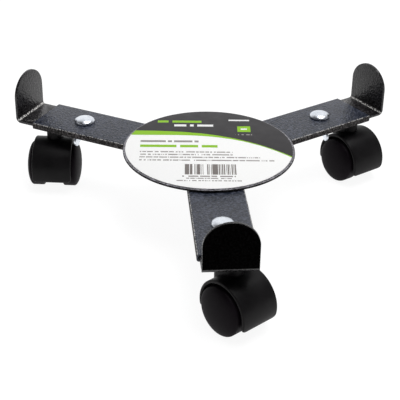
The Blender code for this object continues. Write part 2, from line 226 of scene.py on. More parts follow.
def caster_place(side):
    """A caster's own frame: Z is the stem's axis and X runs along the axle."""
    stem = Vector(joint(f"caster_swivel_{side}")["pos_m"])
    axle = Vector(joint(f"wheel_spin_{side}_b")["axis"])
    return Matrix.Translation((stem.x, stem.y, 0)) @ Matrix.Rotation(math.atan2(axle.y, axle.x), 4, "Z")


def hub_place(side, way):
    """The axle's middle, with Z along the axle: to wheel b where way is 1, to wheel a where it is -1."""
    hub = Vector(joint(f"wheel_spin_{side}_b")["pos_m"])
    local = caster_place(side).inverted() @ hub
    return caster_place(side) @ Matrix.Translation(local) @ Matrix.Rotation(way * math.pi / 2, 4, "Y")


def extent(node, place):
    """A node's lowest and highest corner in a local frame."""
    inverse = place.inverted()
    points = [inverse @ vertex.co for vertex in frame["nodes"][node].data.vertices]
    low = Vector([min(p[axis] for p in points) for axis in range(3)])
    high = Vector([max(p[axis] for p in points) for axis in range(3)])
    return low, high


# Modelling


def arc(centre, radii, first, last, steps):
    """Points along an elliptical arc, from one angle to another."""
    angles = [first + (last - first) * step / steps for step in range(steps + 1)]
    return [(centre[0] + radii[0] * math.cos(a), centre[1] + radii[1] * math.sin(a)) for a in angles]


def mirrored(points):
    """The other half of a symmetrical outline of (a, b, radius) points."""
    return [(-a, b, radius) for a, b, radius in reversed(points)]


def dome(radius, foot, top, steps):
    """A dome's profile, from its rim to the axis."""
    points = arc((0, foot), (radius, top - foot), 0, math.pi / 2, steps)
    points[-1] = (0, top)
    return points


def rounded(points, closed=True):
    """An outline from (a, b, radius) points: each corner becomes an arc of its radius."""
    outline = []
    count = len(points)
    for index, (a, b, radius) in enumerate(points):
        at_end = not closed and index in (0, count - 1)
        if radius == 0 or at_end:
            outline.append((a, b))
            continue
        corner = Vector((a, b))
        before = (Vector(points[index - 1][:2]) - corner).normalized()
        after = (Vector(points[(index + 1) % count][:2]) - corner).normalized()
        half = before.angle(after) / 2
        centre = corner + (before + after).normalized() * radius / math.sin(half)
        start = corner + before * radius / math.tan(half) - centre
        end = corner + after * radius / math.tan(half) - centre
        sweep = start.angle_signed(end)
        for step in range(CORNER + 1):
            turn = Matrix.Rotation(-sweep * step / CORNER, 2)
            outline.append(tuple(centre + turn @ start))
    return outline


def turned(profile, steps=TURN):
    """A solid turned about Z from (radius, height) points. It closes on the axis or on itself."""
    bm = bmesh.new()
    verts = [bm.verts.new((radius, 0, height)) for radius, height in profile]
    edges = [bm.edges.new(pair) for pair in zip(verts, verts[1:])]
    if profile[0][0] > 0:
        edges.append(bm.edges.new((verts[-1], verts[0])))
    bmesh.ops.spin(
        bm,
        geom=verts + edges,
        cent=(0, 0, 0),
        axis=(0, 0, 1),
        angle=2 * math.pi,
        steps=steps,
        use_merge=True,
    )
    return tidied(bm)


def disc(radius, low, high, low_edge, high_edge, steps):
    """A solid disc or pin about Z with rounded rims."""
    profile = [(0, high, 0), (radius, high, high_edge), (radius, low, low_edge), (0, low, 0)]
    return turned(rounded(profile, closed=False), steps)


def prism(outline, along, start, end):
    """A closed outline swept along X or Z from start to end."""
    place = {"X": lambda a, b, c: (c, a, b), "Z": lambda a, b, c: (a, b, c)}[along]
    bm = bmesh.new()
    face = bm.faces.new([bm.verts.new(place(a, b, start)) for a, b in outline])
    swept = bmesh.ops.extrude_face_region(bm, geom=[face])["geom"]
    moved = [item for item in swept if isinstance(item, bmesh.types.BMVert)]
    bmesh.ops.translate(bm, verts=moved, vec=place(0, 0, end - start))
    return tidied(bm)


def tidied(bm):
    """Merges points that coincide and turns every face outwards."""
    bmesh.ops.remove_doubles(bm, verts=bm.verts, dist=1e-7)
    bmesh.ops.recalc_face_normals(bm, faces=bm.faces)
    return bm


def softened(bm, width, angle=ROUNDED_FROM, segments=2):
    """Rounds every edge sharper than angle."""
    edges = [e for e in bm.edges if e.is_manifold and e.calc_face_angle() > angle]
    return bevelled(bm, edges, width, segments)


def level_edges(bm, height):
    """The edges that lie flat at a height."""
    return [e for e in bm.edges if all(abs(v.co.z - height) < NEAR for v in e.verts)]


def bevelled(bm, edges, width, segments):
    """Rounds the given edges."""
    bmesh.ops.bevel(
        bm,
        geom=edges,
        offset=width,
        offset_type="OFFSET",
        segments=segments,
        profile=0.5,
        affect="EDGES",
        clamp_overlap=True,
        material=-1,
    )
    return bm


def cut_at(bm, axis, stations):
    """Adds an edge loop at each station along an axis."""
    normal = Vector([1 if index == axis else 0 for index in range(3)])
    for station in stations:
        bmesh.ops.bisect_plane(
            bm, geom=bm.verts[:] + bm.edges[:] + bm.faces[:], plane_co=normal * station, plane_no=normal
        )
    return bm


def mesh_from(name, bm):
    """A new mesh from a bmesh, which it uses up."""
    mesh = bpy.data.meshes.new(name)
    bm.to_mesh(mesh)
    bm.free()
    return mesh


def added(name, data):
    """A new object in the scene."""
    made = bpy.data.objects.new(name, data)
    bpy.context.scene.collection.objects.link(made)
    return made


def combined(body, joins=(), cuts=()):
    """The body with every join added and then every cut taken away. It uses up the bmeshes it is given."""
    helpers = [added("helper", mesh_from("helper", bm)) for bm in (body, *joins, *cuts)]
    for index, helper in enumerate(helpers[1:]):
        boolean = helpers[0].modifiers.new("combine", "BOOLEAN")
        boolean.operation = "UNION" if index < len(joins) else "DIFFERENCE"
        boolean.solver = "EXACT"
        boolean.object = helper
    graph = bpy.context.evaluated_depsgraph_get()
    result = bmesh.new()
    result.from_mesh(helpers[0].evaluated_get(graph).to_mesh())
    for helper in helpers:
        mesh = helper.data
        bpy.data.objects.remove(helper, do_unlink=True)
        bpy.data.meshes.remove(mesh)
    return tidied(result)


def placed(name, bm, place, finishes, body, slot, *nodes):
    """One finished piece, in its place, riding on its body and standing for its nodes."""
    bmesh.ops.transform(bm, matrix=place, verts=bm.verts)
    mesh = mesh_from(name, bm)
    for finish in finishes:
        mesh.materials.append(finish)
    mesh.shade_smooth()
    mesh.set_sharp_from_angle(angle=SHARP)
    piece = added(name, mesh)
    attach(piece, body)
    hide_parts(*nodes)


# Plate and label


def plate_shape():
    """The round plate. Its upright edge takes the second finish."""
    low, high = extent("pot_plate", Matrix())
    low_edge = 0.00040
    top_edge = 0.00055
    bm = disc(high.x, low.z, high.z, low_edge, top_edge, TURN * 2)
    # The upright edge takes the second finish, painted shade: black
    for face in bm.faces:
        face.material_index = 1 if abs(face.normal.z) < SIDE_FACE else 0
    return bm


def label_shape():
    """The thin round label."""
    low, high = extent("plate_label", Matrix())
    edge = 0.00006
    return disc(high.x, low.z, high.z, edge, edge, TURN * 2)


# Arms


def channel_shape(side):
    """A C-shaped channel with a square hole for the bolt's neck. Its sides take the second finish."""
    shape = measures()
    low, high = extent(f"arm_channel_{side}", arm_place(side))
    sheet = shape.channel_sheet
    inner = shape.channel_bend
    outer = inner + sheet
    half = high.y
    lip = half - shape.channel_lip
    under = low.z + sheet
    over = high.z - sheet
    outside = [(lip, low.z, 0), (half, low.z, outer), (half, high.z, outer)]
    inside = [(half - sheet, over, inner), (half - sheet, under, inner), (lip, under, 0)]
    section = outside + mirrored(outside) + mirrored(inside) + inside
    bm = prism(rounded(section), "X", low.x, high.x)
    softened(bm, shape.edge_break)
    bolt_low, bolt_high = extent(f"carriage_bolt_{side}", arm_place(side))
    middle = (bolt_low.x + bolt_high.x) / 2
    square = shape.slot_width / 2
    cut_at(bm, 0, (middle - square, middle + square))
    cut_at(bm, 1, (-square, square))
    hole = [
        face
        for face in bm.faces
        if abs(face.normal.z) > LEVEL_FACE
        and abs(face.calc_center_median().x - middle) < square
        and abs(face.calc_center_median().y) < square
    ]
    bmesh.ops.delete(bm, geom=hole, context="FACES")
    bmesh.ops.bridge_loops(bm, edges=[e for e in bm.edges if e.is_boundary])
    tidied(bm)
    # Marks the middle of each outer bend for painted glints, a painted highlight
    mark = bm.verts.layers.float.new(GLINT_MARK)
    worn_half = sheet * 0.1
    for vertex in bm.verts:
        beside = abs(vertex.co.y) - (half - outer)
        above = vertex.co.z - (high.z - outer)
        on_bend = beside > 0 and above > 0 and math.hypot(beside, above) > (inner + outer) / 2
        vertex[mark] = 1.0 if on_bend and abs(above - beside) < worn_half else 0.0
    # The sides take the second finish, painted shade: a darker paint than the top
    for face in bm.faces:
        face.material_index = 1 if abs(face.normal.y) > SIDE_FACE else 0
    return bm


def leg_shape(side):
    """A flat strip with a round end and a slot, bent up into the lug that stops the pot.

    The lug's outer face takes the second finish.
    """
    shape = measures()
    place = arm_place(side)
    low, high = extent(f"sliding_leg_{side}", place)
    stem_low, stem_high = extent(f"caster_stem_{side}", place)
    sheet = shape.leg_sheet
    neutral = shape.leg_bend + sheet / 2
    bend_start = high.x - sheet - shape.leg_bend
    bend_length = neutral * math.pi / 2
    top = low.z + sheet
    tip = bend_start + bend_length + high.z - top - shape.leg_bend
    half = high.y
    quarter = math.pi / 2
    tail = 0.0012
    strip = [(tip, half, 0), (low.x, half, tail), (low.x, -half, tail), (tip, -half, 0)]
    outline = rounded(strip)[1:-1]
    outline += arc((tip - shape.lug_round, 0), (shape.lug_round, half), -quarter, quarter, TURN // 2)
    bm = prism(outline, "Z", -sheet / 2, sheet / 2)
    softened(bm, shape.edge_break, segments=3)
    cut_at(bm, 0, [bend_start + bend_length * step / BEND for step in range(BEND + 1)])
    for vertex in bm.verts:
        along = vertex.co.x
        turn = min(max((along - bend_start) / neutral, 0), quarter)
        past = max(along - bend_start - bend_length, 0)
        reach = neutral - vertex.co.z
        vertex.co.x = min(along, bend_start) + reach * math.sin(turn)
        vertex.co.z = top + shape.leg_bend - reach * math.cos(turn) + past
    tidied(bm)
    # Marks the crease inside the bend for painted glints, a painted highlight
    mark = bm.verts.layers.float.new(GLINT_MARK)
    crease_start = 0.0001
    crease_end = shape.leg_bend * 0.62
    for vertex in bm.verts:
        inside = high.x - sheet - vertex.co.x
        above = vertex.co.z - top
        in_crease = crease_start < min(inside, above) and max(inside, above) < crease_end
        vertex[mark] = 1.0 if in_crease else 0.0
    slot_half = shape.slot_width / 2
    first = low.x + shape.slot_start
    last = first + shape.slot_length
    slot = arc((last, 0), (slot_half, slot_half), -quarter, quarter, SMALL_TURN // 2)
    slot += arc((first, 0), (slot_half, slot_half), quarter, 3 * quarter, SMALL_TURN // 2)
    sink = stem_sink(low.z - MARGIN, low.z + sheet / 2, top, top + MARGIN)
    bmesh.ops.translate(sink, verts=sink.verts, vec=((stem_low.x + stem_high.x) / 2, 0, 0))
    bm = combined(bm, cuts=[prism(slot, "Z", low.z - MARGIN, top + MARGIN), sink])
    # The lug's outer face takes the second finish, painted shade: black and without gloss
    for face in bm.faces:
        on_back = face.normal.x > SQUARE_FACE and face.calc_center_median().z > low.z
        face.material_index = 1 if on_back else 0
    return bm


def stem_sink(low, waist, top, high):
    """The cutter for the countersunk hole in a leg that takes its stem's flush head."""
    shape = measures()
    pin = shape.stem_diameter / 2 + CLOSE
    head = shape.stem_head / 2 + CLOSE
    return turned([(0, low), (pin, low), (pin, waist), (head, top), (head, high), (0, high)], SMALL_TURN)


# Clamps


def thread_shape(radius, pitch, low, high):
    """A threaded rod: the thread's side view is wound up in a helix, then trimmed and capped.

    The helix starts one and a half turns below the rod and has two turns to spare.
    """
    start = low - pitch * 1.5
    turns = math.ceil((high - low) / pitch) + 2
    bm = bmesh.new()
    verts = [bm.verts.new((radius - depth * pitch, 0, start + height * pitch)) for depth, height in THREAD]
    edges = [bm.edges.new(pair) for pair in zip(verts, verts[1:])]
    bmesh.ops.spin(
        bm,
        geom=verts + edges,
        cent=(0, 0, 0),
        axis=(0, 0, 1),
        dvec=(0, 0, pitch / THREAD_STEPS),
        angle=2 * math.pi * turns,
        steps=THREAD_STEPS * turns,
        use_merge=False,
    )
    bmesh.ops.remove_doubles(bm, verts=bm.verts, dist=NEAR)
    for height, way in ((low, -1), (high, 1)):
        cut = bmesh.ops.bisect_plane(
            bm,
            geom=bm.verts[:] + bm.edges[:] + bm.faces[:],
            plane_co=(0, 0, height),
            plane_no=(0, 0, way),
            clear_outer=True,
        )["geom_cut"]
        rim = [item for item in cut if isinstance(item, bmesh.types.BMEdge)]
        bmesh.ops.edgeloop_fill(bm, edges=rim)
    return tidied(bm)


def bolt_shape(side):
    """A carriage bolt: a domed head with a thin upright rim, a square neck and a threaded shank."""
    shape = measures()
    low, high = extent(f"carriage_bolt_{side}", clamp_place(side))
    radius = high.x
    seat = high.z - shape.bolt_head
    rim = seat + shape.bolt_rim
    rim_inset = 0.0003
    rim_rise = 0.0002
    dome_steps = 24
    foot = [(0, seat), (radius - rim_inset, seat), (radius, seat + rim_rise)]
    head = turned(foot + dome(radius, rim, high.z, dome_steps))
    shank = shape.bolt_diameter / 2
    neck_end = extent(f"sliding_leg_{side}", arm_place(side))[0].z + shape.leg_sheet / 2
    neck_edge = 0.0004
    square = [(shank * x, shank * y, neck_edge) for x, y in ((1, 1), (-1, 1), (-1, -1), (1, -1))]
    neck = prism(rounded(square), "Z", neck_end, seat + OVERLAP)
    rod = thread_shape(shank, shape.thread_pitch, low.z + OVERLAP, neck_end + OVERLAP)
    tip_top = low.z + OVERLAP * 2
    tip_wide = shank - 0.00064
    tip_narrow = shank - 0.00096
    tip = turned([(0, tip_top), (tip_wide, tip_top), (tip_narrow, low.z), (0, low.z)], SMALL_TURN)
    return combined(head, joins=[neck, rod, tip])


def washer_shape(side):
    """A flat washer."""
    low, high = extent(f"clamp_washer_{side}", clamp_place(side))
    hole = measures().slot_width / 2
    edge = 0.0002
    corners = ((hole, high.z), (high.x, high.z), (high.x, low.z), (hole, low.z))
    return turned(rounded([(*corner, edge) for corner in corners]))


def nut_shape(side):
    """A wing nut whose two wings hang down and out from a tapered hub."""
    shape = measures()
    low, high = extent(f"wing_nut_{side}", nut_place(side))
    end = high.z - shape.nut_height
    edge = 0.0005
    hole = shape.bolt_diameter / 2 + LOOSE
    section = [
        (hole, high.z, 0.0002),
        (shape.nut_diameter / 2, high.z, edge),
        (shape.nut_end / 2, end, edge),
        (hole, end, 0.0003),
    ]
    hub = turned(rounded(section), SMALL_TURN)
    half = shape.wing_sheet / 2
    root = shape.nut_end / 2 - half
    ear = (high.y - shape.wing_round, low.z + shape.wing_round)
    foot = 0.0012
    ear_steps = 28
    wing_top = high.z - 0.0007
    wing_low = end + 0.0004
    shoulder = (shape.nut_diameter / 2 + 0.0006, high.z - 0.0011)
    outline = [(root, wing_top), (root, wing_low), (ear[0] - foot, low.z + foot)]
    outline += arc(ear, (shape.wing_round, shape.wing_round), -0.7 * math.pi, 0.42 * math.pi, ear_steps)
    outline.append(shoulder)
    wing_edge = 0.00045
    wings = []
    for way in (1, -1):
        wing = prism([(way * y, z) for y, z in outline], "X", -half, half)
        wings.append(softened(wing, wing_edge, segments=3))
    return combined(hub, joins=wings)


# Casters


def stem_shape(side):
    """A turned stem: flush head, flange, and a pin with a groove near its end."""
    shape = measures()
    place = caster_place(side)
    low, high = extent(f"caster_stem_{side}", place)
    ring_low, ring_high = extent(f"stem_ring_{side}", place)
    leg_low = extent(f"sliding_leg_{side}", arm_place(side))[0].z
    pin = shape.stem_diameter / 2
    flange_top = leg_low - LOOSE
    flange_low = flange_top - shape.stem_flange
    flange_edge = 0.00025
    groove = pin - shape.ring_depth
    groove_top = ring_high.z + CLOSE
    groove_low = ring_low.z - CLOSE
    groove_edge = 0.0001
    profile = [
        (0, high.z, 0),
        (shape.stem_head / 2, high.z, 0),
        (pin, leg_low + shape.leg_sheet / 2, 0),
        (pin, flange_top, 0),
        (high.x, flange_top, flange_edge),
        (high.x, flange_low, flange_edge),
        (pin, flange_low, 0.0003),
        (pin, groove_top, 0),
        (groove, groove_top, groove_edge),
        (groove, groove_low, groove_edge),
        (pin, groove_low, 0),
        (pin, low.z, 0.0008),
        (0, low.z, 0),
    ]
    return turned(rounded(profile, closed=False), SMALL_TURN)


def ring_shape(side):
    """The open spring ring that holds the stem in the caster."""
    shape = measures()
    low, high = extent(f"stem_ring_{side}", caster_place(side))
    gap = 0.0001
    inner = shape.stem_diameter / 2 - shape.ring_depth + gap
    outer = shape.stem_diameter / 2 + gap
    mouth = math.radians(25)
    turn = 2 * math.pi
    outline = arc((0, 0), (outer, outer), mouth, turn - mouth, SMALL_TURN)
    outline += arc((0, 0), (inner, inner), turn - mouth, mouth, SMALL_TURN)
    edge = 0.0001
    return softened(prism(outline, "Z", low.z, high.z), edge)


def hood_shape(side):
    """A caster's body: a wall bent round both wheels, a web between them and a neck up to the leg."""
    shape = measures()
    place = caster_place(side)
    low, high = extent(f"caster_hood_{side}", place)
    hub = place.inverted() @ Vector(joint(f"wheel_spin_{side}_b")["pos_m"])
    stem_low = extent(f"caster_stem_{side}", place)[0]
    outer = hub.y - low.y
    wall = shape.hood_wall
    sweep = math.pi + 2 * shape.hood_lip
    run = sweep * outer
    corner = shape.hood_corner
    flat = [(0, -high.x, corner), (run, -high.x, corner), (run, high.x, corner), (0, high.x, corner)]
    bm = prism(rounded(flat), "Z", -wall, 0)
    outer_rim = level_edges(bm, 0)
    inner_rim = level_edges(bm, -wall)
    bevelled(bm, outer_rim, shape.hood_edge, segments=4)
    bevelled(bm, inner_rim, shape.hood_edge / 3, segments=4)
    cut_at(bm, 0, [run * step / HOOD_STEPS for step in range(1, HOOD_STEPS)])
    for vertex in bm.verts:
        along, across, depth = vertex.co
        angle = along / outer - shape.hood_lip
        reach = outer + depth
        vertex.co = (across, hub.y + reach * math.cos(angle), hub.z + reach * math.sin(angle))
    tidied(bm)
    web_radius = outer - wall / 2
    lip = shape.hood_lip
    web_edge = 0.0004
    web_angle = math.radians(50)
    web_outline = arc((hub.y, hub.z), (web_radius, web_radius), -lip, math.pi + lip, TURN // 2)
    web = prism(web_outline, "X", -shape.web_half, shape.web_half)
    softened(web, web_edge, angle=web_angle, segments=3)
    half_neck = shape.neck_width / 2
    neck = arc((0, shape.neck_front), (half_neck, half_neck), 0, math.pi, SMALL_TURN // 2)
    neck += arc((0, -shape.neck_back), (half_neck, half_neck), math.pi, 2 * math.pi, SMALL_TURN // 2)
    column = prism(neck, "Z", hub.z + wall, high.z)
    neck_edge = 0.0005
    bevelled(column, level_edges(column, high.z), neck_edge, segments=3)
    bore = shape.stem_diameter / 2 + LOOSE
    floor = stem_low.z - LOOSE
    mouth = high.z + MARGIN
    stem_hole = turned([(0, floor), (bore, floor), (bore, mouth), (0, mouth)], SMALL_TURN)
    axle_gap = 0.0001
    pin = shape.axle_diameter / 2 + axle_gap
    axle_outline = arc((hub.y, hub.z), (pin, pin), 0, 2 * math.pi, SMALL_TURN)[:-1]
    axle_hole = prism(axle_outline, "X", low.x, high.x)
    return combined(bm, joins=[web, column], cuts=[stem_hole, axle_hole])


def axle_shape(side):
    """A plain pin with rounded ends."""
    low, high = extent(f"wheel_axle_{side}", hub_place(side, 1))
    radius = measures().axle_diameter / 2
    edge = 0.0004
    return disc(radius, low.z, high.z, edge, edge, SMALL_TURN)


def wheel_shape(side, mark):
    """A wheel with a smooth dome outside and a hollow with a hub inside."""
    shape = measures()
    way = WHEELS[mark]
    low, high = extent(f"caster_wheel_{side}_{mark}", hub_place(side, way))
    axle_end = extent(f"wheel_axle_{side}", hub_place(side, 1))[1].z + LOOSE
    radius = high.x
    hole = shape.axle_diameter / 2 + LOOSE
    hub = hole + shape.hub_wall
    rim = radius - shape.wheel_wall
    shoulder = shape.wheel_shoulder
    floor = shoulder - shape.wheel_wall
    hub_edge = 0.0002
    fillet = 0.0006
    dome_steps = 40
    inside = [
        (0, axle_end, 0),
        (hole, axle_end, 0),
        (hole, low.z, hub_edge),
        (hub, low.z, hub_edge),
        (hub, floor, fillet),
        (rim, floor, fillet),
        (rim, low.z, 0.0003),
        (radius, low.z, 0.0008),
        (radius, shoulder, 0),
    ]
    return turned(rounded(inside, closed=False)[:-1] + dome(radius, shoulder, high.z, dome_steps))


# Finishes


def node(tree, kind, inputs=None, **settings):
    """One shader node. An input given as a socket is linked, and any other is set."""
    made = tree.nodes.new(kind)
    for key, value in settings.items():
        setattr(made, key, value)
    for key, value in (inputs or {}).items():
        if isinstance(value, bpy.types.NodeSocket):
            tree.links.new(value, made.inputs[key])
        else:
            made.inputs[key].default_value = value
    return made


def maths(tree, operation, *values):
    """The result of a sum on sockets or plain numbers."""
    return node(tree, "ShaderNodeMath", dict(enumerate(values)), operation=operation).outputs[0]


def mixed(tree, factor, first, second):
    """A colour between two others. A plain colour is given as three numbers."""
    first, second = (c if isinstance(c, bpy.types.NodeSocket) else (*c, 1) for c in (first, second))
    return node(tree, "ShaderNodeMix", {0: factor, 6: first, 7: second}, data_type="RGBA").outputs[2]


def ranged(tree, value, low, high, new_low=0.0, new_high=1.0):
    """A value moved from one range to another and held within it."""
    inputs = {"Value": value, "From Min": low, "From Max": high, "To Min": new_low, "To Max": new_high}
    return node(tree, "ShaderNodeMapRange", inputs, clamp=True).outputs[0]


def noise(tree, place, scale, detail=2.0, roughness=0.5):
    """Cloudy noise from 0 to 1. Scale is in cells per metre."""
    inputs = {"Vector": place, "Scale": scale, "Detail": detail, "Roughness": roughness}
    return node(tree, "ShaderNodeTexNoise", inputs).outputs["Fac"]


def started(name, roughness, metallic=0.0, specular=0.5):
    """A new material with its tree, its shader and the coordinates that its patterns read."""
    made = bpy.data.materials.new(name)
    made.use_nodes = True
    tree = made.node_tree
    shader = tree.nodes["Principled BSDF"]
    shader.inputs["Roughness"].default_value = roughness
    shader.inputs["Metallic"].default_value = metallic
    shader.inputs["Specular IOR Level"].default_value = specular
    place = tree.nodes.new("ShaderNodeTexCoord").outputs["Object"]
    return made, tree, shader, place


def edge_mask(tree, radius, low, high):
    """1 on the piece's outer and inner edges, 0 on its flats."""
    bevel = node(tree, "ShaderNodeBevel", {"Radius": radius}, samples=6).outputs[0]
    normal = tree.nodes.new("ShaderNodeNewGeometry").outputs["Normal"]
    facing = node(tree, "ShaderNodeVectorMath", {0: bevel, 1: normal}, operation="DOT_PRODUCT")
    return ranged(tree, facing.outputs["Value"], high, low)


def bumped(tree, shader, height, strength, distance):
    """Gives the shader a relief that is distance deep."""
    made = node(tree, "ShaderNodeBump", {"Height": height, "Strength": strength, "Distance": distance})
    tree.links.new(made.outputs[0], shader.inputs["Normal"])


def hammered_paint(name, ground, fleck, roughness, specular, depth=0.00045, glint_amount=1.0):
    """Hammered enamel: small dimples, light flecks, and painted highlights as light glints on bends and cut
    edges.

    Depth is that of the dimples, and glint_amount is how far the painted glints show.
    """
    tints = colours()
    cell = measures().hammer_cell
    made, tree, shader, place = started(name, roughness, specular=specular)

    # Dimples, flecks and darker clouds
    dimples = node(
        tree,
        "ShaderNodeTexVoronoi",
        {"Vector": place, "Scale": 1 / cell, "Smoothness": 0.6},
        feature="SMOOTH_F1",
    ).outputs["Distance"]
    grain = noise(tree, place, 0.9 / cell, detail=3.0, roughness=0.75)
    cloud = noise(tree, place, 55.0, detail=3.0)
    tone = mixed(tree, ranged(tree, grain, 0.46, 0.62), ground, fleck)
    deep = [value * 0.5 for value in ground]
    tone = mixed(tree, ranged(tree, cloud, 0.35, 0.75, 0.0, 0.5), tone, deep)

    # Painted highlight: light glints in spots along the bends and in patches on the cut edges
    bend = node(tree, "ShaderNodeAttribute", attribute_name=GLINT_MARK).outputs["Fac"]
    spots = ranged(tree, noise(tree, place, 1.5 / cell, detail=1.0), 0.46, 0.54)
    painted_glint = maths(tree, "MULTIPLY", bend, spots)
    patches = ranged(tree, grain, 0.45, 0.65, 0.0, 0.25)
    edges = maths(tree, "MULTIPLY", edge_mask(tree, 0.0004, 0.75, 0.97), patches)
    thin = maths(tree, "MULTIPLY", maths(tree, "MAXIMUM", painted_glint, edges), glint_amount)
    tone = mixed(tree, thin, tone, tints.painted_glint)
    tree.links.new(tone, shader.inputs["Base Color"])

    # Gloss and relief
    gloss = ranged(tree, grain, 0.3, 0.7, roughness - 0.08, roughness + 0.10)
    tree.links.new(gloss, shader.inputs["Roughness"])
    height = maths(tree, "MULTIPLY_ADD", grain, 0.6, dimples)
    bumped(tree, shader, height, 0.9, depth)
    return made


def moulded_plastic(name, ground, roughness, specular):
    """Black moulded plastic: fine spark-eroded grain, faint flow clouds and lighter edges, a painted
    highlight.
    """
    made, tree, shader, place = started(name, roughness, specular=specular)
    grain = noise(tree, place, 2600.0)
    cloud = noise(tree, place, 70.0, detail=4.0, roughness=0.6)
    light = [value * 1.7 + 0.002 for value in ground]
    tone = mixed(tree, ranged(tree, cloud, 0.35, 0.75), ground, light)
    # Painted highlight: the edges are a little lighter
    edge_highlight = [value * 3.0 + 0.004 for value in ground]
    edges = maths(tree, "MULTIPLY", edge_mask(tree, 0.0005, 0.7, 0.97), 0.35)
    tone = mixed(tree, edges, tone, edge_highlight)
    tree.links.new(tone, shader.inputs["Base Color"])
    gloss = maths(tree, "ADD", ranged(tree, cloud, 0.3, 0.7, -0.04, 0.05), roughness)
    tree.links.new(gloss, shader.inputs["Roughness"])
    bumped(tree, shader, grain, 0.22, 0.00006)
    return made


def plated(name, bright, dull, roughness, lines=0.0):
    """Bright plating with faint clouds and, where lines is above 0, fine turning marks round Z."""
    made, tree, shader, place = started(name, roughness, metallic=1.0)
    cloud = noise(tree, place, 420.0, detail=4.0, roughness=0.6)
    tone = mixed(tree, ranged(tree, cloud, 0.42, 0.72), bright, dull)
    tree.links.new(tone, shader.inputs["Base Color"])
    gloss = ranged(tree, cloud, 0.3, 0.7, roughness - 0.06, roughness + 0.10)
    tree.links.new(gloss, shader.inputs["Roughness"])
    stretch = 1 + 14 * lines
    drawn_out = node(tree, "ShaderNodeMapping", {"Vector": place, "Scale": (1, 1, stretch)})
    marks = noise(tree, drawn_out.outputs[0], 1400.0)
    bumped(tree, shader, marks, 0.08, 0.00004)
    return made


def inside_box(tree, across, up, low, high):
    """1 where both coordinates are between low and high."""
    mask = None
    for value, start, end in ((across, low[0], high[0]), (up, low[1], high[1])):
        band = maths(tree, "COMPARE", value, (start + end) / 2, (end - start) / 2)
        mask = band if mask is None else maths(tree, "MULTIPLY", mask, band)
    return mask


def dashes(tree, across, up, low, high, cell, share):
    """Dashes of random length in a box: a plain stand-in for print.

    Cell is the shortest dash, and share is the part of the cells that is drawn.
    """
    slot = maths(tree, "FLOOR", maths(tree, "DIVIDE", across, cell))
    line_seed = 37.0 * low[1] + 11.0 * low[0]
    seed = maths(tree, "ADD", slot, line_seed)
    chance = node(tree, "ShaderNodeTexWhiteNoise", {"W": seed}, noise_dimensions="1D").outputs["Value"]
    drawn = maths(tree, "LESS_THAN", chance, share)
    return maths(tree, "MULTIPLY", inside_box(tree, across, up, low, high), drawn)


def curve_height(tree, across, factors):
    """The height of a cubic curve over across, by Horner's rule."""
    height = factors[0]
    for factor in factors[1:]:
        height = maths(tree, "MULTIPLY_ADD", height, across, factor)
    return height


# The label's print, in mm: lower and upper corner, shortest dash, share of dashes drawn, and colour
PRINTED_DASHES = (
    ((-40, 6.6), (-6, 9.0), 1.2, 0.86, "print_grey"),
    ((-40, 0.2), (5, 3.3), 2.1, 0.90, "stripe"),
    ((-40, -6.2), (13.5, -4.9), 0.55, 0.80, "print_grey"),
    ((-40, -9.5), (13.5, -8.2), 0.55, 0.80, "print_grey"),
    ((-40, -12.8), (29, -11.5), 0.55, 0.80, "print_grey"),
    ((-40, -16.4), (37, -15.1), 0.55, 0.80, "print_grey"),
    ((-14.0, -32.6), (14.8, -20.4), 0.36, 0.66, "ink"),
    ((-15.5, -35.3), (14.8, -33.9), 0.80, 0.66, "print_grey"),
    ((-13.2, -37.5), (12, -36.4), 0.5, 0.76, "print_grey"),
    ((-18.5, -40.2), (17.5, -39.1), 0.5, 0.76, "print_grey"),
    ((-30.5, 32.8), (-4, 35.6), 2.4, 0.88, "stripe"),
    ((-20.5, 27.6), (3, 30.4), 2.2, 0.86, "print_white"),
    ((12.5, 35.6), (25, 37.4), 1.1, 0.85, "print_white"),
    ((16, 16.6), (26, 17.8), 0.7, 0.75, "print_grey"),
)
# Plain blocks over it: lower and upper corner, and colour
PRINTED_BLOCKS = (
    ((17.4, 20.8), (25.2, 28.4), "stripe"),
    ((19.4, 23.7), (23.2, 25.5), "print_white"),
)
PRINT_TILT = math.radians(4)

# The stripe's two edges are cubic curves of these factors, with across in steps of 50 mm and up in mm
STEPS_PER_METRE = 20.0
MM_PER_METRE = 1000.0
STRIPE_TOP = (-5.1, -13.7, -16.2, 17.7)
STRIPE_FOOT = (-8.0, -14.4, -11.4, 14.6)


